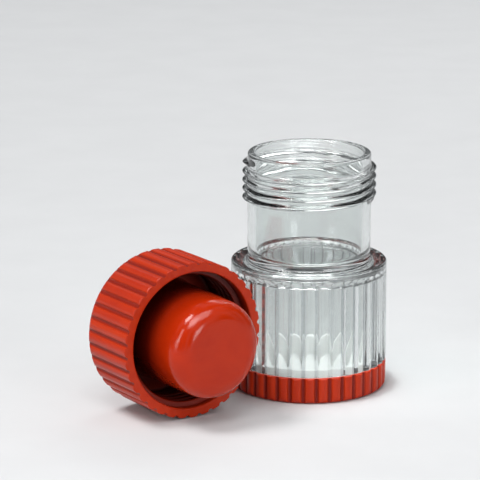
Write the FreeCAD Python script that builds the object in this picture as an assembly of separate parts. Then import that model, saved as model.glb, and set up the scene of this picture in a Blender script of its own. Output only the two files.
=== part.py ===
import FreeCAD, Part
import math
import os

# Screw-together pill crusher with a storage container in its base.
# Frame: millimetres, +Z up, origin on the container's axis at the underside of the base lid.
# The clear container stands on its lid, and the crusher cap lies on its side beside it.

Vector = FreeCAD.Vector
ORIGIN = Vector(0, 0, 0)
Z_AXIS = Vector(0, 0, 1)

# ---- driving dimensions -------------------------------------------------------------------
BODY_R = 22.5              # crest radius of the ribbed lid, skirt and cap
RIB_COUNT = 36
RIB_DEPTH = 0.85           # from a rib's crest to the bottom of its groove
RIB_SIDE_DEPTH = 0.3       # how far below the crest the rib's rounded top meets the groove
RIB_TOP_SHARE = 0.62       # share of the pitch taken by a rib's rounded top
THREAD_PITCH = 2.5         # right-hand, on the neck and on the container foot alike
THREAD_SINK = 0.3          # how deep a thread is rooted in its wall
THREAD_HALF_ROOT = 0.70    # half width of a thread ridge where it leaves the wall
THREAD_HALF_FLANK = 0.50   # half width where the rounded crest begins
FLANK_SHARE = 0.6          # share of the thread's height taken by its straight flanks
RUN_OUT_SHARE = 0.5        # radius of the round tool that runs an inner thread out, to its wall's
EDGE_ROUND = 0.4           # moulded edges that have no round of their own
FINE_ROUND = 0.3           # edges of the clear parts that go into others

# base lid
LID_TOP = 7.5
LID_FLOOR = 2.0
LID_BORE_R = 20.95
LID_EDGE_ROUND = 1.8

# white seal insert in the lid
SEAL_R = 18.7
SEAL_WALL = 1.2
SEAL_FLOOR = 1.0
SEAL_TOP = 9.6
SEAL_CORNER = 0.8

# storage skirt: fluted wall with a threaded foot
FOOT_BOTTOM = 2.4
FOOT_ROOT_R = 19.9
FOOT_THREAD_HEIGHT = 0.8
FOOT_THREAD_START = 3.5
FOOT_THREAD_TURNS = 1.2
SKIRT_BOTTOM = 7.8
SKIRT_TOP = 35.0
SKIRT_BORE_R = 19.0

# crushing cup: shoulder flange, floor and threaded neck
SHOULDER_TOP = 37.5
SPIGOT_R = 18.9
SPIGOT_DEPTH = 1.5
SPIGOT_WALL = 1.4
SHOULDER_ROUND = 0.8
CHAMBER_FLOOR_TOP = 38.4
CHAMBER_FLOOR_BOTTOM = 35.4
CHAMBER_R = 15.4
CHAMBER_FILLET = 2.4
NECK_R = 17.75
NECK_TOP = 69.0
NECK_FOOT_FILLET = 0.6
NECK_LIP_ROUND = 0.8
NECK_THREAD_HEIGHT = 1.5
NECK_THREAD_START = 54.5
NECK_THREAD_TURNS = 4.58
NECK_THREAD_START_DEG = -10.0

# crusher cap, measured from its mouth
CAP_HEIGHT = 21.2
CAP_DEPTH = 19.2
CAP_BORE_R = 19.6
CAP_EDGE_ROUND = 3.0
CAP_ROOF_FILLET = 0.8
CAP_THREAD_HEIGHT = 1.5
CAP_THREAD_FIRST = 1.6
CAP_THREAD_TURNS = 4.2
SOCKET_DEPTH = 0.7

# plunger, measured from the cap's mouth
PLUNGER_REACH = 14.6       # how far it stands out of the mouth
PLUNGER_TIP_R = 14.0
PLUNGER_ROOT_R = 14.6
PLUNGER_TIP_ROUND = 5.5
PLUNGER_WALL = 2.0
PLUNGER_END = 2.5
PLUNGER_INNER_ROUND = 3.5
PLUNGER_FLANGE_R = 15.0
PLUNGER_FLANGE = 1.4

# screwed-on place of the cap, and where it lies at rest
PLUNGER_FLOOR_GAP = 0.4    # plunger tip to chamber floor when screwed home
SCREW_TURNS = 13           # whole turns that carry the container from lid to cap
CAP_HEADING_DEG = 34.0     # the lying cap's mouth points this far from -Y towards +X
CAP_MOUTH_X = -32.9
CAP_MOUTH_Y = -34.0

SEAT_MOUTH_Z = CHAMBER_FLOOR_TOP + PLUNGER_FLOOR_GAP + PLUNGER_REACH
HOVER_MOUTH_Z = SEAT_MOUTH_Z + SCREW_TURNS * THREAD_PITCH


# ---- outlines and turned shapes -----------------------------------------------------------
def rounded_outline(corners):
    """Closed face in the XZ plane; each corner is (x, z, round), with tangent arcs."""
    edges = []
    previous_end = None
    first_start = None
    count = len(corners)
    for i in range(count):
        x, z, radius = corners[i]
        here = Vector(x, 0, z)
        before = Vector(corners[i - 1][0], 0, corners[i - 1][1])
        after = Vector(corners[(i + 1) % count][0], 0, corners[(i + 1) % count][1])
        to_before = (before - here).normalize()
        to_after = (after - here).normalize()
        start = here
        end = here
        if radius > 0:
            half_angle = to_before.getAngle(to_after) / 2
            reach = radius / math.tan(half_angle)
            bisector = (to_before + to_after).normalize()
            start = here + to_before * reach
            end = here + to_after * reach
            middle = here + bisector * (radius / math.sin(half_angle) - radius)
        if previous_end is not None:
            edges.append(Part.makeLine(previous_end, start))
        else:
            first_start = start
        if radius > 0:
            edges.append(Part.Arc(start, middle, end).toShape())
        previous_end = end
    edges.append(Part.makeLine(previous_end, first_start))
    return Part.Face(Part.Wire(edges))


def turned(corners):
    """Solid of revolution about Z of a rounded outline."""
    return rounded_outline(corners).revolve(ORIGIN, Z_AXIS, 360)


def on_circle(radius, degrees, z):
    angle = math.radians(degrees)
    return Vector(radius * math.cos(angle), radius * math.sin(angle), z)


def ribbed_column(bottom, top, phase_deg):
    """Column with RIB_COUNT rounded ribs and rounded grooves between them."""
    step = 360.0 / RIB_COUNT
    half_top = step * RIB_TOP_SHARE / 2
    side_r = BODY_R - RIB_SIDE_DEPTH
    edges = []
    for i in range(RIB_COUNT):
        crest = phase_deg + i * step
        start = on_circle(side_r, crest - half_top, bottom)
        middle = on_circle(BODY_R, crest, bottom)
        end = on_circle(side_r, crest + half_top, bottom)
        groove = on_circle(BODY_R - RIB_DEPTH, crest + step / 2, bottom)
        following = on_circle(side_r, crest + step - half_top, bottom)
        edges.append(Part.Arc(start, middle, end).toShape())
        edges.append(Part.Arc(end, groove, following).toShape())
    return Part.Face(Part.Wire(edges)).extrude(Vector(0, 0, top - bottom))


# ---- threads ------------------------------------------------------------------------------
def thread_ridge(wall_r, height, start_deg, start_z, turns, inward):
    """Helical ridge on a wall, with both ends run out into the wall over about 25 degrees."""
    side = -1 if inward else 1
    root = wall_r - side * THREAD_SINK
    flank = wall_r + side * height * FLANK_SHARE
    crest = wall_r + side * height
    path = Part.Wire(Part.makeHelix(THREAD_PITCH, turns * THREAD_PITCH, wall_r).Edges)
    low_root = Vector(root, 0, -THREAD_HALF_ROOT)
    high_root = Vector(root, 0, THREAD_HALF_ROOT)
    low_flank = Vector(flank, 0, -THREAD_HALF_FLANK)
    high_flank = Vector(flank, 0, THREAD_HALF_FLANK)
    section = Part.Wire([
        Part.makeLine(low_root, low_flank),
        Part.Arc(low_flank, Vector(crest, 0, 0), high_flank).toShape(),
        Part.makeLine(high_flank, high_root),
        Part.makeLine(high_root, low_root),
    ])
    ridge = path.makePipeShell([section], True, True)
    end_deg = turns * 360.0
    for place_deg in (0.0, end_deg):
        cutter = run_out_cutter(wall_r, height, inward)
        cutter.rotate(ORIGIN, Z_AXIS, place_deg)
        cutter.translate(Vector(0, 0, place_deg / 360.0 * THREAD_PITCH))
        ridge = ridge.cut(cutter)
    ridge.rotate(ORIGIN, Z_AXIS, start_deg)
    ridge.translate(Vector(0, 0, start_z))
    return ridge


def run_out_cutter(wall_r, height, inward):
    """Tool that takes away the end of a ridge beyond a surface tangent to the wall at angle 0."""
    half = THREAD_PITCH / 2
    if inward:
        radius = wall_r * RUN_OUT_SHARE
        return Part.makeCylinder(radius, 2 * half, Vector(wall_r - radius, 0, -half), Z_AXIS)
    return Part.makeBox(height * 2, 2 * wall_r, 2 * half, Vector(wall_r, -wall_r, -half))


# ---- the pieces ---------------------------------------------------------------------------
def make_base_lid():
    envelope = turned([
        (0, 0, 0),
        (BODY_R, 0, LID_EDGE_ROUND),
        (BODY_R, LID_TOP, EDGE_ROUND),
        (LID_BORE_R, LID_TOP, FINE_ROUND),
        (LID_BORE_R, LID_FLOOR, 0),
        (0, LID_FLOOR, 0),
    ])
    lid = envelope.common(ribbed_column(-1, LID_TOP + 1, 0))
    # Starting half a turn on at the same height puts the lid's ridge half a pitch off
    # the container's ridge.
    ridge = thread_ridge(LID_BORE_R, FOOT_THREAD_HEIGHT, 180, FOOT_THREAD_START,
                         FOOT_THREAD_TURNS, inward=True)
    return lid.fuse(ridge).removeSplitter()


def make_lid_seal_insert():
    return turned([
        (0, LID_FLOOR, 0),
        (SEAL_R, LID_FLOOR, EDGE_ROUND),
        (SEAL_R, SEAL_TOP, EDGE_ROUND),
        (SEAL_R - SEAL_WALL, SEAL_TOP, EDGE_ROUND),
        (SEAL_R - SEAL_WALL, LID_FLOOR + SEAL_FLOOR, SEAL_CORNER),
        (0, LID_FLOOR + SEAL_FLOOR, 0),
    ])


def make_storage_skirt():
    envelope = turned([
        (SKIRT_BORE_R, FOOT_BOTTOM, FINE_ROUND),
        (FOOT_ROOT_R, FOOT_BOTTOM, FINE_ROUND),
        (FOOT_ROOT_R, SKIRT_BOTTOM, 0),
        (BODY_R, SKIRT_BOTTOM, EDGE_ROUND),
        (BODY_R, SKIRT_TOP, 0),
        (SKIRT_BORE_R, SKIRT_TOP, 0),
    ])
    skirt = envelope.common(ribbed_column(0, SKIRT_TOP + 1, 0))
    ridge = thread_ridge(FOOT_ROOT_R, FOOT_THREAD_HEIGHT, 0, FOOT_THREAD_START,
                         FOOT_THREAD_TURNS, inward=False)
    return skirt.fuse(ridge).removeSplitter()


def make_crushing_cup():
    """Chamber with a threaded neck, on a plain round shoulder that caps the fluted skirt."""
    spigot_bottom = SKIRT_TOP - SPIGOT_DEPTH
    cup = turned([
        (0, CHAMBER_FLOOR_BOTTOM, 0),
        (SPIGOT_R - SPIGOT_WALL, CHAMBER_FLOOR_BOTTOM, SHOULDER_ROUND),
        (SPIGOT_R - SPIGOT_WALL, spigot_bottom, FINE_ROUND),
        (SPIGOT_R, spigot_bottom, FINE_ROUND),
        (SPIGOT_R, SKIRT_TOP, 0),
        (BODY_R, SKIRT_TOP, 0),
        (BODY_R, SHOULDER_TOP, SHOULDER_ROUND),
        (NECK_R, SHOULDER_TOP, NECK_FOOT_FILLET),
        (NECK_R, NECK_TOP, NECK_LIP_ROUND),
        (CHAMBER_R, NECK_TOP, NECK_LIP_ROUND),
        (CHAMBER_R, CHAMBER_FLOOR_TOP, CHAMBER_FILLET),
        (0, CHAMBER_FLOOR_TOP, 0),
    ])
    ridge = thread_ridge(NECK_R, NECK_THREAD_HEIGHT, NECK_THREAD_START_DEG, NECK_THREAD_START,
                         NECK_THREAD_TURNS, inward=False)
    return cup.fuse(ridge).removeSplitter()


def make_crusher_cap(rib_phase_deg):
    """Cap shell with its mouth at z = 0, opening downwards, in mesh with the neck when seated."""
    envelope = turned([
        (CAP_BORE_R, 0, EDGE_ROUND),
        (BODY_R, 0, EDGE_ROUND),
        (BODY_R, CAP_HEIGHT, CAP_EDGE_ROUND),
        (0, CAP_HEIGHT, 0),
        (0, CAP_DEPTH + SOCKET_DEPTH, 0),
        (PLUNGER_ROOT_R, CAP_DEPTH + SOCKET_DEPTH, 0),
        (PLUNGER_ROOT_R, CAP_DEPTH, 0),
        (CAP_BORE_R, CAP_DEPTH, CAP_ROOF_FILLET),
    ])
    shell = envelope.common(ribbed_column(-1, CAP_HEIGHT + 1, rib_phase_deg))
    # The neck ridge passes angle 0 at this height, so the cap's ridge runs half a pitch off it.
    neck_at_zero = NECK_THREAD_START - NECK_THREAD_START_DEG / 360.0 * THREAD_PITCH
    offset = (neck_at_zero - SEAT_MOUTH_Z + THREAD_PITCH / 2 - CAP_THREAD_FIRST) % THREAD_PITCH
    ridge = thread_ridge(CAP_BORE_R, CAP_THREAD_HEIGHT, 0, CAP_THREAD_FIRST + offset,
                         CAP_THREAD_TURNS, inward=True)
    return shell.fuse(ridge).removeSplitter()


def make_plunger():
    """Hollow piston with a closed, rounded tip, fixed by its root in the cap's roof."""
    top = CAP_DEPTH + SOCKET_DEPTH
    return turned([
        (0, -PLUNGER_REACH, 0),
        (PLUNGER_TIP_R, -PLUNGER_REACH, PLUNGER_TIP_ROUND),
        (PLUNGER_ROOT_R, CAP_DEPTH - PLUNGER_FLANGE, 0),
        (PLUNGER_FLANGE_R, CAP_DEPTH - PLUNGER_FLANGE, 0),
        (PLUNGER_FLANGE_R, CAP_DEPTH, 0),
        (PLUNGER_ROOT_R, CAP_DEPTH, 0),
        (PLUNGER_ROOT_R, top, 0),
        (PLUNGER_ROOT_R - PLUNGER_WALL, top, 0),
        (PLUNGER_TIP_R - PLUNGER_WALL, PLUNGER_END - PLUNGER_REACH, PLUNGER_INNER_ROUND),
        (0, PLUNGER_END - PLUNGER_REACH, 0),
    ])


# ---- the swing that lays the cap down -----------------------------------------------------
def cap_swing():
    """Axis, centre and angle of the one rotation from the lying cap to the cap over the neck.

    It goes the long way round, because the short way would drag the cap through the container.
    """
    heading = math.radians(CAP_HEADING_DEG)
    mouth_way = Vector(math.sin(heading), -math.cos(heading), 0)
    sideways = Vector(math.cos(heading), math.sin(heading), 0)
    lying = Vector(CAP_MOUTH_X, CAP_MOUTH_Y, BODY_R)
    over_neck = Vector(0, 0, HOVER_MOUTH_Z)
    travel = over_neck - lying
    bisecting = (mouth_way - Z_AXIS) * math.sqrt(0.5)
    tilt = math.atan(-travel.dot(sideways) / travel.dot(bisecting))
    axis = (sideways * math.cos(tilt) + bisecting * math.sin(tilt)) * -1
    start = mouth_way - axis * mouth_way.dot(axis)
    finish = axis * Z_AXIS.dot(axis) - Z_AXIS
    angle = math.atan2(start.cross(finish).dot(axis), start.dot(finish)) + 2 * math.pi
    centre = (lying + over_neck) * 0.5 + axis.cross(travel) * (0.5 / math.tan(angle / 2))
    return axis, centre, math.degrees(angle)


def main():
    os.makedirs("parts", exist_ok=True)
    axis, centre, swing_deg = cap_swing()
    # A rib crest touches the table when the cap lies down: this is where that crest is
    # on the cap while the cap stands over the neck.
    table_rib = FreeCAD.Rotation(axis, swing_deg).multVec(Vector(0, 0, -1))
    rib_phase_deg = math.degrees(math.atan2(table_rib.y, table_rib.x))
    pieces = {
        "base_lid": make_base_lid(),
        "lid_seal_insert": make_lid_seal_insert(),
        "storage_skirt": make_storage_skirt(),
        "crushing_cup": make_crushing_cup(),
        "crusher_cap": make_crusher_cap(rib_phase_deg),
        "crusher_plunger": make_plunger(),
    }
    for name in ("crusher_cap", "crusher_plunger"):
        pieces[name].translate(Vector(0, 0, HOVER_MOUTH_Z))
        pieces[name].rotate(centre, axis, -swing_deg)
    for name, shape in pieces.items():
        solid = shape.Solids[0]
        box = solid.BoundBox
        print(name, solid.isValid(), len(shape.Solids), round(solid.Volume, 1),
              [round(v, 2) for v in (box.XMin, box.YMin, box.ZMin, box.XMax, box.YMax, box.ZMax)])
        solid.exportStep("parts/" + name + ".step")
    print("cap_swing axis", [round(v, 9) for v in axis])
    print("cap_swing centre m", [round(v / 1000, 9) for v in centre])
    print("cap_swing degrees", round(swing_deg, 6))
    print("rise m per radian", THREAD_PITCH / 1000 / (2 * math.pi))


main()
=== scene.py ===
"""Looks of the pill crusher: clear container on its red lid, with the red crusher cap lying beside it."""

import math

import bpy
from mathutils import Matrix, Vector


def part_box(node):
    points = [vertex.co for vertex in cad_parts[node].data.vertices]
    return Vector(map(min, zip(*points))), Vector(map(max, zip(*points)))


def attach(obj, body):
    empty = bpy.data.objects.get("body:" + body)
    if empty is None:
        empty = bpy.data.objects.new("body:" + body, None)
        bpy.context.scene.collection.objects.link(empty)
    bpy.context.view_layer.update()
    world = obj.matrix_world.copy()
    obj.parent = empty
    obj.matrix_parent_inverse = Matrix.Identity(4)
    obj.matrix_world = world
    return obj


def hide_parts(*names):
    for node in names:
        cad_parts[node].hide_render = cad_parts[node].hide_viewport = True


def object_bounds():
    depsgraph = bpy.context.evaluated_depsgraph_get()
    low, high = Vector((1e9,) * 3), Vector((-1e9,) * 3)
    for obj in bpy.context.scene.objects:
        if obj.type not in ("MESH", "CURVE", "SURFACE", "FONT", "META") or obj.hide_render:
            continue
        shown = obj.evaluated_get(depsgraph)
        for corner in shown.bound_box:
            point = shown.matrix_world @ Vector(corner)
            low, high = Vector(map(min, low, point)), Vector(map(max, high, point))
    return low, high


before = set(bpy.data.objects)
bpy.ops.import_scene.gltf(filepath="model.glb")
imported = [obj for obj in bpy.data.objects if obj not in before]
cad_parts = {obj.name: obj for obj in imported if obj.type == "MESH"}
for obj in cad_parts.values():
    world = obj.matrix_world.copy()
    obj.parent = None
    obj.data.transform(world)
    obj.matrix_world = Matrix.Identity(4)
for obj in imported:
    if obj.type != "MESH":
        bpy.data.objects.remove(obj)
cad_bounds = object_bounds()

MM = 0.001

# ---- places taken from the frame ----------------------------------------------------------
skirt_low, skirt_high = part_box("storage_skirt")
cup_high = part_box("crushing_cup")[1]
cap_low, cap_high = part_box("crusher_cap")
lid_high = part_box("base_lid")[1]

BODY_R = skirt_high.x               # crest radius of the flutes
NECK_TOP = cup_high.z
FOOT_BOTTOM = skirt_low.z
LID_GAP = 0.3 * MM
SKIRT_BOTTOM = lid_high.z + LID_GAP
CAP_HEADING = math.radians(34.0)    # the lying cap's mouth, from -Y towards +X
CAP_AXIS = (math.sin(CAP_HEADING), -math.cos(CAP_HEADING), 0.0)
CAP_LENGTH = 21.2 * MM
CAP_BORE_R = 19.6 * MM
CAP_MIDDLE = (cap_low + cap_high) / 2
CAP_MOUTH = tuple(CAP_MIDDLE + Vector(CAP_AXIS) * CAP_LENGTH / 2)

# ---- container sizes that belong to the same design ---------------------------------------
RIB_COUNT = 36
RIB_DEPTH = 0.85 * MM               # crest to the bottom of a groove
RIB_SIDE_DEPTH = 0.3 * MM           # crest to where the rounded top meets the groove
RIB_TOP_SHARE = 0.62                # share of the pitch taken by the rounded top
NECK_LENGTH = 31.5 * MM
SHOULDER_TOP = NECK_TOP - NECK_LENGTH
SHOULDER_HEIGHT = 2.5 * MM
SKIRT_TOP = SHOULDER_TOP - SHOULDER_HEIGHT
CHAMBER_FLOOR = SHOULDER_TOP + 0.9 * MM
CHAMBER_FLOOR_THICKNESS = 3.0 * MM
CHAMBER_UNDERSIDE = CHAMBER_FLOOR - CHAMBER_FLOOR_THICKNESS
SPIGOT_WALL = 1.5 * MM              # ring under the shoulder that the skirt is bonded to
SPIGOT_DROP = 1.9 * MM
CHAMBER_R = 15.4 * MM
NECK_R = 17.75 * MM
STORE_R = 19.0 * MM
FOOT_R = 19.9 * MM
PITCH = 2.5 * MM
NECK_THREAD = {"start_deg": -10.0, "start_z": NECK_TOP - 14.5 * MM, "turns": 4.58,
               "height": 1.5 * MM}
FOOT_THREAD = {"start_deg": 0.0, "start_z": FOOT_BOTTOM + 1.1 * MM, "turns": 1.2,
               "height": 0.8 * MM}
RIB_FADE = 1.2 * MM                 # height over which the flutes run out under the shoulder
RIB_ROOT_R = 20.8 * MM              # the skirt's underside is round from here inwards
RUN_OUT_DEG = 24.0                  # turn over which a thread's end rises from the wall
RIDGE_HALF = 0.95 * MM              # half the width of a thread's foot
ROUND_STEPS = 8                     # rows in each rounded corner of the outline
POINTS_PER_RIB = 16


# ---- camera -------------------------------------------------------------------------------
CAMERA_ELEVATION = math.radians(14.4)
CAMERA_DISTANCE = 0.85
FRAME_WIDTH = 0.136
LOOK_ABOVE_MIDDLE = 12 * MM


def add_camera():
    low, high = cad_bounds
    target = Vector(((low[0] + high[0]) / 2, (low[1] + high[1]) / 2, (low[2] + high[2]) / 2))
    target.z += LOOK_ABOVE_MIDDLE
    data = bpy.data.cameras.new("camera")
    data.sensor_width = 36.0
    data.lens = data.sensor_width * CAMERA_DISTANCE / FRAME_WIDTH
    data.clip_start = 0.01
    camera = bpy.data.objects.new("camera", data)
    back = Vector((0, -math.cos(CAMERA_ELEVATION), math.sin(CAMERA_ELEVATION)))
    camera.location = target + back * CAMERA_DISTANCE
    camera.rotation_euler = (-back).to_track_quat("-Z", "Y").to_euler()
    bpy.context.scene.collection.objects.link(camera)
    bpy.context.scene.camera = camera
    return target


# ---- small node helpers -------------------------------------------------------------------
def new_material(name):
    material = bpy.data.materials.new(name)
    material.use_nodes = True
    nodes = material.node_tree.nodes
    shader = nodes["Principled BSDF"]
    return material, nodes, material.node_tree.links, shader


def noise_node(nodes, links, vector, scale, detail=4.0, roughness=0.55, distortion=0.0):
    node = nodes.new("ShaderNodeTexNoise")
    node.inputs["Scale"].default_value = scale
    node.inputs["Detail"].default_value = detail
    node.inputs["Roughness"].default_value = roughness
    node.inputs["Distortion"].default_value = distortion
    links.new(vector, node.inputs["Vector"])
    return node.outputs["Fac"]


def ramp_node(nodes, links, value, stops):
    node = nodes.new("ShaderNodeValToRGB")
    ramp = node.color_ramp
    while len(ramp.elements) < len(stops):
        ramp.elements.new(0.5)
    for element, (position, colour) in zip(ramp.elements, stops):
        element.position = position
        element.color = colour
    links.new(value, node.inputs["Fac"])
    return node.outputs["Color"]


def map_range(nodes, links, value, low, high, to_low, to_high):
    node = nodes.new("ShaderNodeMapRange")
    node.inputs["From Min"].default_value = low
    node.inputs["From Max"].default_value = high
    node.inputs["To Min"].default_value = to_low
    node.inputs["To Max"].default_value = to_high
    links.new(value, node.inputs["Value"])
    return node.outputs["Result"]


def mix_colour(nodes, links, factor, first, second):
    node = nodes.new("ShaderNodeMix")
    node.data_type = "RGBA"
    links.new(factor, node.inputs["Factor"])
    for socket, value in ((node.inputs["A"], first), (node.inputs["B"], second)):
        if isinstance(value, tuple):
            socket.default_value = value
        else:
            links.new(value, socket)
    return node.outputs["Result"]


def bump_node(nodes, links, height, strength, distance, normal=None):
    node = nodes.new("ShaderNodeBump")
    node.inputs["Strength"].default_value = strength
    node.inputs["Distance"].default_value = distance
    links.new(height, node.inputs["Height"])
    if normal is not None:
        links.new(normal, node.inputs["Normal"])
    return node.outputs["Normal"]


def object_place(nodes):
    return nodes.new("ShaderNodeTexCoord").outputs["Object"]


def vector_math(nodes, links, operation, first, second=None):
    node = nodes.new("ShaderNodeVectorMath")
    node.operation = operation
    links.new(first, node.inputs[0])
    if second is not None:
        node.inputs[1].default_value = second
    return node.outputs["Value" if operation == "LENGTH" else "Vector"]


def radius_from_axis(nodes, links, place, origin, axis):
    """Distance of a surface point from an axis, such as a ribbed part's own."""
    from_origin = vector_math(nodes, links, "SUBTRACT", place, origin)
    across = vector_math(nodes, links, "CROSS_PRODUCT", from_origin, axis)
    return vector_math(nodes, links, "LENGTH", across)


def facing_amount(nodes, links, axis):
    """1 where the surface stands across the axis, as a flat end does, and 0 on a side wall."""
    node = nodes.new("ShaderNodeVectorMath")
    node.operation = "DOT_PRODUCT"
    links.new(nodes.new("ShaderNodeTexCoord").outputs["Normal"], node.inputs[0])
    node.inputs[1].default_value = axis
    size = nodes.new("ShaderNodeMath")
    size.operation = "ABSOLUTE"
    links.new(node.outputs["Value"], size.inputs[0])
    return size.outputs["Value"]


def depth_along(nodes, links, place, origin, axis):
    """How far a surface point lies from an origin, measured against the axis."""
    from_origin = vector_math(nodes, links, "SUBTRACT", place, origin)
    node = nodes.new("ShaderNodeVectorMath")
    node.operation = "DOT_PRODUCT"
    links.new(from_origin, node.inputs[0])
    node.inputs[1].default_value = (-axis[0], -axis[1], -axis[2])
    return node.outputs["Value"]


def product(nodes, links, first, second):
    node = nodes.new("ShaderNodeMath")
    node.operation = "MULTIPLY"
    links.new(first, node.inputs[0])
    links.new(second, node.inputs[1])
    return node.outputs["Value"]


def groove_amount(nodes, links, radius):
    """1 at the bottom of the grooves, 0 on the crests and on everything further in."""
    below_crest = map_range(nodes, links, radius, BODY_R - RIB_DEPTH, BODY_R - RIB_SIDE_DEPTH,
                            1.0, 0.0)
    outside = map_range(nodes, links, radius, BODY_R - 2.0 * RIB_DEPTH, BODY_R - 1.6 * RIB_DEPTH,
                        0.0, 1.0)
    return product(nodes, links, below_crest, outside)


# ---- materials ----------------------------------------------------------------------------
RED = (0.44, 0.023, 0.0015, 1.0)
DEEP_RED = (0.38, 0.018, 0.0015, 1.0)
# painted shade: the deeper red painted into the grooves between ribs
GROOVE_SHADE_RED = (0.17, 0.005, 0.001, 1.0)
# painted shade: near-black red painted into the cap's recess and on the plunger's side inside it
RECESS_SHADE_RED = (0.07, 0.003, 0.001, 1.0)
RECESS_SHARE = 0.92
RECESS_EDGE = 0.3 * MM              # width over which the recess ends at the bore's wall
ROOF_FADE_START = CAP_LENGTH - 1.4 * MM
ROOF_FADE_END = CAP_LENGTH - 0.8 * MM
LAMP_PASS = (0.92, 0.93, 0.93, 1.0)
RED_IOR = 1.5
CLEAR_IOR = 1.55
FINE_BUMP = 0.05 * MM
CLEAR_TINT = (0.85, 0.878, 0.868, 1.0)
CLEAR_TINT_DEEP = (0.80, 0.83, 0.825, 1.0)
# painted shade: the darker tint painted into the grooves between flutes
GROOVE_SHADE_TINT = (0.40, 0.43, 0.45, 1.0)


def recess_shade_amount(nodes, links, place, start, end):
    """Mask of the painted shade in the cap's deep recess: 0 to RECESS_SHARE between two depths behind the
    cap's mouth, inside its bore and roof.
    """
    depth = depth_along(nodes, links, place, CAP_MOUTH, CAP_AXIS)
    inward = map_range(nodes, links, depth, start, end, 0.0, RECESS_SHARE)
    radius = radius_from_axis(nodes, links, place, CAP_MOUTH, CAP_AXIS)
    inside = map_range(nodes, links, radius, CAP_BORE_R, CAP_BORE_R + RECESS_EDGE, 1.0, 0.0)
    under_roof = map_range(nodes, links, depth, ROOF_FADE_START, ROOF_FADE_END, 1.0, 0.0)
    return product(nodes, links, product(nodes, links, inward, inside), under_roof)


def red_plastic(name, roughness_low, roughness_high, grain, shine,
                rib_origin=None, rib_axis=None, recess=None):
    """Opaque moulded red plastic: cloudy pigment, fine surface grain and faint rub marks.

    The grooves between ribs and the cap's recess are painted a deeper red. That is a matter of
    looks: it adds to the shade that the lights alone give there.
    """
    material, nodes, links, shader = new_material(name)
    place = object_place(nodes)
    cloud = noise_node(nodes, links, place, 55.0, 5.0, 0.6, 0.6)
    pigment = ramp_node(nodes, links, cloud, [(0.32, DEEP_RED), (0.62, RED)])
    speck = noise_node(nodes, links, place, 1400.0, 2.0)
    speck_amount = map_range(nodes, links, speck, 0.62, 0.8, 0.0, 0.10)
    pale = (RED[0] * 1.25, RED[1] * 1.9, RED[2] * 2.4, 1.0)
    colour = mix_colour(nodes, links, speck_amount, pigment, pale)
    worn = nodes.new("ShaderNodeNewGeometry").outputs["Pointiness"]
    worn_amount = map_range(nodes, links, worn, 0.52, 0.60, 0.0, 0.35)
    lit_edge = (RED[0] * 1.18, RED[1] * 1.7, RED[2] * 1.8, 1.0)
    colour = mix_colour(nodes, links, worn_amount, colour, lit_edge)
    # painted shade: the grooves between ribs are darkened in the colour
    if rib_axis is not None:
        radius = radius_from_axis(nodes, links, place, rib_origin, rib_axis)
        side = map_range(nodes, links, facing_amount(nodes, links, rib_axis), 0.5, 0.8, 1.0, 0.0)
        groove = product(nodes, links, groove_amount(nodes, links, radius), side)
        colour = mix_colour(nodes, links, groove, colour, GROOVE_SHADE_RED)
    # painted shade: the cap's recess and the plunger inside it are darkened in the colour
    if recess is not None:
        colour = mix_colour(nodes, links, recess_shade_amount(nodes, links, place, *recess), colour,
                            RECESS_SHADE_RED)
    links.new(colour, shader.inputs["Base Color"])
    smear = noise_node(nodes, links, place, 160.0, 6.0, 0.65, 0.8)
    links.new(map_range(nodes, links, smear, 0.3, 0.7, roughness_low, roughness_high),
              shader.inputs["Roughness"])
    fine = noise_node(nodes, links, place, 2600.0, 3.0)
    wave = noise_node(nodes, links, place, 180.0, 2.0)
    first = bump_node(nodes, links, wave, 0.10, 0.25 * MM)
    links.new(bump_node(nodes, links, fine, grain, FINE_BUMP, first), shader.inputs["Normal"])
    shader.inputs["IOR"].default_value = RED_IOR
    shader.inputs["Specular IOR Level"].default_value = shine
    return material


def clear_plastic():
    """Clear moulded plastic: full transmission, faint cool tint, flow lines and haze.

    Shadow rays pass straight through with a little loss, so what stands behind is lit. The
    grooves between flutes get a darker painted tint in uneven streaks: painted shade, to draw them out.
    """
    material, nodes, links, shader = new_material("clear_moulded_plastic")
    place = object_place(nodes)
    haze = noise_node(nodes, links, place, 240.0, 5.0, 0.6, 0.5)
    links.new(map_range(nodes, links, haze, 0.35, 0.75, 0.01, 0.06), shader.inputs["Roughness"])
    cloud = noise_node(nodes, links, place, 70.0, 3.0)
    tint = ramp_node(nodes, links, cloud, [(0.3, CLEAR_TINT_DEEP), (0.7, CLEAR_TINT)])
    upright = vector_math(nodes, links, "MULTIPLY", place, (1.0, 1.0, 0.0))
    uneven = noise_node(nodes, links, upright, 150.0, 1.0)
    # painted shade: darker tint streaked into the grooves between flutes
    groove = groove_amount(nodes, links, vector_math(nodes, links, "LENGTH", upright))
    streak = product(nodes, links, groove, map_range(nodes, links, uneven, 0.35, 0.6, 0.35, 1.0))
    links.new(mix_colour(nodes, links, streak, tint, GROOVE_SHADE_TINT), shader.inputs["Base Color"])
    flow = noise_node(nodes, links, place, 210.0, 2.0, 0.5, 1.2)
    links.new(bump_node(nodes, links, flow, 0.03, 0.12 * MM), shader.inputs["Normal"])
    shader.inputs["Transmission Weight"].default_value = 1.0
    shader.inputs["IOR"].default_value = CLEAR_IOR
    lamp_ray = nodes.new("ShaderNodeLightPath").outputs["Is Shadow Ray"]
    passing = nodes.new("ShaderNodeBsdfTransparent")
    passing.inputs["Color"].default_value = LAMP_PASS
    choice = nodes.new("ShaderNodeMixShader")
    links.new(lamp_ray, choice.inputs["Fac"])
    links.new(shader.outputs["BSDF"], choice.inputs[1])
    links.new(passing.outputs["BSDF"], choice.inputs[2])
    links.new(choice.outputs["Shader"], nodes["Material Output"].inputs["Surface"])
    return material


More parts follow.
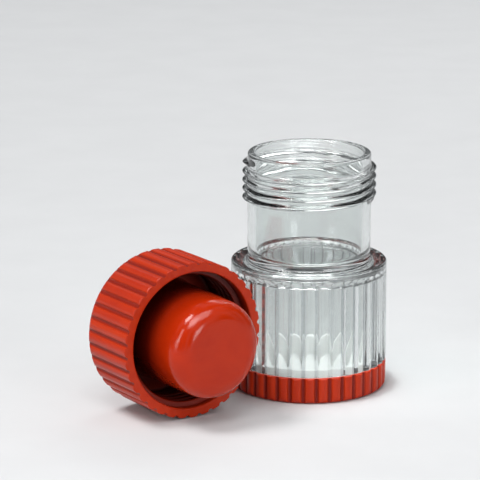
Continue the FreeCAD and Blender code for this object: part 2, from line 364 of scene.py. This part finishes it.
def white_seal():
    """Soft translucent white polyethylene with a matt, slightly waxy surface."""
    material, nodes, links, shader = new_material("white_polyethylene")
    place = object_place(nodes)
    cloud = noise_node(nodes, links, place, 120.0, 4.0)
    links.new(ramp_node(nodes, links, cloud, [(0.3, (0.47, 0.48, 0.475, 1.0)),
                                              (0.7, (0.53, 0.535, 0.53, 1.0))]),
              shader.inputs["Base Color"])
    links.new(map_range(nodes, links, cloud, 0.3, 0.7, 0.38, 0.5), shader.inputs["Roughness"])
    fine = noise_node(nodes, links, place, 1800.0, 2.0)
    links.new(bump_node(nodes, links, fine, 0.15, FINE_BUMP), shader.inputs["Normal"])
    shader.inputs["Subsurface Weight"].default_value = 0.25
    shader.inputs["Subsurface Radius"].default_value = (1.0, 1.0, 1.0)
    shader.inputs["Subsurface Scale"].default_value = 1.0 * MM
    return material


def dress(node_name, material):
    """Gives a CAD node its material."""
    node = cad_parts[node_name]
    node.data.materials.clear()
    node.data.materials.append(material)


# ---- the clear container ------------------------------------------------------------------
def rib_inset(angle):
    """How far the fluted surface lies inside the crest circle at an angle."""
    step = 2 * math.pi / RIB_COUNT
    across = abs(((angle + step / 2) % step) / step * 2 - 1)
    if across < RIB_TOP_SHARE:
        return RIB_SIDE_DEPTH * (across / RIB_TOP_SHARE) ** 2
    from_groove = (1 - across) / (1 - RIB_TOP_SHARE)
    return RIB_DEPTH - (RIB_DEPTH - RIB_SIDE_DEPTH) * from_groove ** 2


def ridge_lift(thread, angle, z):
    """Height of a helical ridge above its wall, with both ends run out."""
    total = thread["turns"] * 360.0
    start = thread["start_deg"]
    first = (math.degrees(angle) - start) % 360.0
    lift = 0.0
    turn = 0
    while first + 360.0 * turn <= total:
        along = first + 360.0 * turn
        centre = thread["start_z"] + along / 360.0 * PITCH
        off = abs(z - centre)
        if off < RIDGE_HALF:
            full = thread["height"] * math.cos(math.pi / 2 * off / RIDGE_HALF) ** 2
            to_end = min(along, total - along) / RUN_OUT_DEG
            ease = min(1.0, to_end)
            lift = max(lift, full * ease * ease * (3 - 2 * ease))
        turn += 1
    return lift


def arc_corner(before, here, after, radius, steps):
    """Points of a tangent arc that rounds one corner of an outline."""
    to_before = (before - here).normalized()
    to_after = (after - here).normalized()
    half = to_before.angle(to_after) / 2
    centre = here + (to_before + to_after).normalized() * (radius / math.sin(half))
    start = here + to_before * (radius / math.tan(half)) - centre
    end = here + to_after * (radius / math.tan(half)) - centre
    sweep = start.angle(end)
    points = []
    for i in range(steps + 1):
        share = i / steps
        point = (start * math.sin(sweep * (1 - share)) + end * math.sin(sweep * share))
        points.append(centre + point / math.sin(sweep))
    return points


def container_rows():
    """Outline of the container in (radius, height), with what shapes each row."""
    corners = [
        # radius, height, round, rows along the next side, shape of the next side
        (0.0, CHAMBER_FLOOR, 0, 10, None),
        (CHAMBER_R, CHAMBER_FLOOR, 2.4 * MM, 14, None),
        (CHAMBER_R, NECK_TOP, 0.8 * MM, 2, None),
        (NECK_R, NECK_TOP, 0.8 * MM, 200, NECK_THREAD),
        (NECK_R, SHOULDER_TOP, 0.6 * MM, 10, None),
        (BODY_R, SHOULDER_TOP, 0.8 * MM, 60, None),
        (BODY_R, SKIRT_BOTTOM, 0.4 * MM, 6, None),
        (FOOT_R, SKIRT_BOTTOM, 0.25 * MM, 44, FOOT_THREAD),
        (FOOT_R, FOOT_BOTTOM, 0.3 * MM, 2, None),
        (STORE_R, FOOT_BOTTOM, 0.3 * MM, 26, None),
        (STORE_R, CHAMBER_UNDERSIDE - SPIGOT_DROP, 0.2 * MM, 2, None),
        (STORE_R - SPIGOT_WALL, CHAMBER_UNDERSIDE - SPIGOT_DROP, 0.3 * MM, 3, None),
        (STORE_R - SPIGOT_WALL, CHAMBER_UNDERSIDE, 0.8 * MM, 10, None),
        (0.0, CHAMBER_UNDERSIDE, 0, 0, None),
    ]
    flat = [Vector((c[0], c[1])) for c in corners]
    rows = []
    for i, (radius, height, rounding, count, shape) in enumerate(corners):
        if rounding:
            arc = arc_corner(flat[i - 1], flat[i], flat[i + 1], rounding, ROUND_STEPS)
            rows.extend((p.x, p.y, None) for p in arc)
            leave = arc[-1]
        else:
            rows.append((radius, height, None))
            leave = flat[i]
        if count:
            following = corners[i + 1]
            if following[2]:
                arrive = arc_corner(flat[i], flat[i + 1], flat[(i + 2) % len(flat)],
                                    following[2], ROUND_STEPS)[0]
            else:
                arrive = flat[i + 1]
            for k in range(1, count):
                p = leave.lerp(arrive, k / count)
                rows.append((p.x, p.y, shape))
    return rows


def ring_mesh(name, rows, around, place):
    """Closed turned mesh: first and last rows are single points on the axis."""
    vertices = []
    faces = []
    last = len(rows) - 1
    starts = []
    for index, row in enumerate(rows):
        starts.append(len(vertices))
        if index in (0, last):
            vertices.append((0.0, 0.0, row[1]))
            continue
        for j in range(around):
            vertices.append(place(row, 2 * math.pi * j / around))
    for index in range(last):
        a = starts[index]
        b = starts[index + 1]
        for j in range(around):
            k = (j + 1) % around
            if index == 0:
                faces.append((a, b + j, b + k))
            elif index == last - 1:
                faces.append((a + j, b, a + k))
            else:
                faces.append((a + j, b + j, b + k, a + k))
    mesh = bpy.data.meshes.new(name)
    mesh.from_pydata(vertices, [], faces)
    mesh.validate()
    mesh.shade_smooth()
    piece = bpy.data.objects.new(name, mesh)
    bpy.context.scene.collection.objects.link(piece)
    return piece


def container_point(row, angle):
    radius, z, thread = row
    if thread is not None:
        radius += ridge_lift(thread, angle, z)
    rib_share = min(1.0, max(0.0, (radius - RIB_ROOT_R) / (BODY_R - RIB_ROOT_R)))
    fade = min(1.0, max(0.0, (SKIRT_TOP - z) / RIB_FADE))
    if z > SKIRT_BOTTOM - 0.1 * MM:
        radius -= rib_inset(angle) * rib_share * rib_share * fade * fade * (3 - 2 * fade)
    return (radius * math.cos(angle), radius * math.sin(angle), z)


def add_container(material):
    piece = ring_mesh("clear_container", container_rows(), RIB_COUNT * POINTS_PER_RIB,
                      container_point)
    piece.data.materials.append(material)
    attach(piece, "container")
    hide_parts("storage_skirt", "crushing_cup")


# ---- stage and light ----------------------------------------------------------------------
FLOOR_RADIUS = 8.0
FLOOR_POINTS = 96
SUN_DISTANCE = 2.0
PALE = (0.745, 0.75, 0.755, 1.0)    # the backdrop, matched to the lit floor


def add_floor():
    """Plain pale round floor, so wide that its rim reads as the horizon."""
    mesh = bpy.data.meshes.new("studio_floor")
    turns = [2 * math.pi * i / FLOOR_POINTS for i in range(FLOOR_POINTS)]
    rim = [(FLOOR_RADIUS * math.cos(turn), FLOOR_RADIUS * math.sin(turn), 0.0) for turn in turns]
    mesh.from_pydata(rim, [], [tuple(range(FLOOR_POINTS))])
    floor = bpy.data.objects.new("studio_floor", mesh)
    bpy.context.scene.collection.objects.link(floor)
    material, nodes, links, shader = new_material("pale_paper")
    grain = noise_node(nodes, links, object_place(nodes), 40.0, 3.0)
    links.new(ramp_node(nodes, links, grain, [(0.3, (0.63, 0.635, 0.64, 1.0)),
                                              (0.7, (0.65, 0.655, 0.66, 1.0))]),
              shader.inputs["Base Color"])
    shader.inputs["Roughness"].default_value = 0.8
    shader.inputs["Specular IOR Level"].default_value = 0.1
    mesh.materials.append(material)


def aim(light, target, direction, distance):
    away = Vector(direction).normalized()
    light.location = target + away * distance
    light.rotation_euler = (-away).to_track_quat("-Z", "Y").to_euler()
    bpy.context.scene.collection.objects.link(light)


def add_window(name, target, direction, distance, size, power, gloss_only=False):
    """Rectangular lamp. A gloss_only one is hidden from diffuse rays, so it gives matt surfaces
    no light, and it still shows in reflections and through clear plastic."""
    data = bpy.data.lights.new(name, "AREA")
    data.shape = "RECTANGLE"
    data.size = size[0]
    data.size_y = size[1]
    data.energy = power
    window = bpy.data.objects.new(name, data)
    window.visible_diffuse = not gloss_only
    aim(window, target, direction, distance)


def add_sun(name, target, direction, spread_deg, strength):
    data = bpy.data.lights.new(name, "SUN")
    data.angle = math.radians(spread_deg)
    data.energy = strength
    aim(bpy.data.objects.new(name, data), target, direction, SUN_DISTANCE)


def add_world():
    """Room around the stage: a dim dome with pale and dark upright bands, and a plain pale backdrop.

    The bands are what clear plastic bends and mirrors. What is seen directly is the backdrop.
    """
    world = bpy.data.worlds.new("studio")
    world.use_nodes = True
    nodes = world.node_tree.nodes
    links = world.node_tree.links
    direction = nodes.new("ShaderNodeTexCoord").outputs["Generated"]
    stretch = nodes.new("ShaderNodeMapping")
    stretch.inputs["Scale"].default_value = (3.4, 3.4, 0.7)
    links.new(direction, stretch.inputs["Vector"])
    bands = noise_node(nodes, links, stretch.outputs["Vector"], 1.0, 2.0, 0.5, 0.0)
    room = ramp_node(nodes, links, bands, [(0.40, (0.015, 0.016, 0.018, 1.0)),
                                           (0.52, (0.16, 0.165, 0.17, 1.0)),
                                           (0.62, (0.62, 0.64, 0.66, 1.0))])
    seen = nodes.new("ShaderNodeLightPath").outputs["Is Camera Ray"]
    links.new(mix_colour(nodes, links, seen, room, PALE), nodes["Background"].inputs["Color"])
    bpy.context.scene.world = world


def add_lights(target):
    add_sun("key", target, (-0.45, -0.12, 0.88), 20.0, 2.0)
    add_window("window_left", target, (-0.70, -0.60, 0.42), 0.8, (0.18, 0.34), 1.5)
    add_window("window_top", target, (-0.10, -0.62, 0.74), 0.8, (0.38, 0.30), 2.4)
    add_window("front_soft", target, (CAP_AXIS[0], CAP_AXIS[1], 0.16), 1.1, (0.30, 0.30), 3.0)
    add_window("gloss_top", target, (0.12, -0.50, 0.82), 0.8, (0.75, 0.42), 6.5, gloss_only=True)
    add_window("gloss_left", target, (-0.85, -0.55, 0.16), 0.8, (0.26, 0.24), 1.0, gloss_only=True)
    add_window("back_rim", target, (0.35, 0.9, 0.9), 0.9, (0.5, 0.25), 1.2)
    add_world()
    bpy.context.scene.view_settings.view_transform = "Standard"


# ---- putting it together ------------------------------------------------------------------
target = add_camera()
# painted shade: the cap's rib grooves and deep recess, and the plunger's side inside the cap, are
# darkened in the colour
cap_red = red_plastic("red_cap_plastic", 0.28, 0.40, 0.22, 0.22, CAP_MOUTH, CAP_AXIS,
                      (0.5 * MM, 4.0 * MM))
plunger_red = red_plastic("red_plunger_plastic", 0.12, 0.17, 0.06, 0.24,
                          recess=(-9.5 * MM, 3.0 * MM))
# the lid's rib grooves get painted shade
lid_red = red_plastic("red_lid_plastic", 0.28, 0.40, 0.20, 0.22, (0.0, 0.0, 0.0), (0.0, 0.0, 1.0))
dress("crusher_cap", cap_red)
dress("crusher_plunger", plunger_red)
dress("base_lid", lid_red)
dress("lid_seal_insert", white_seal())
add_container(clear_plastic())
add_floor()
add_lights(target)
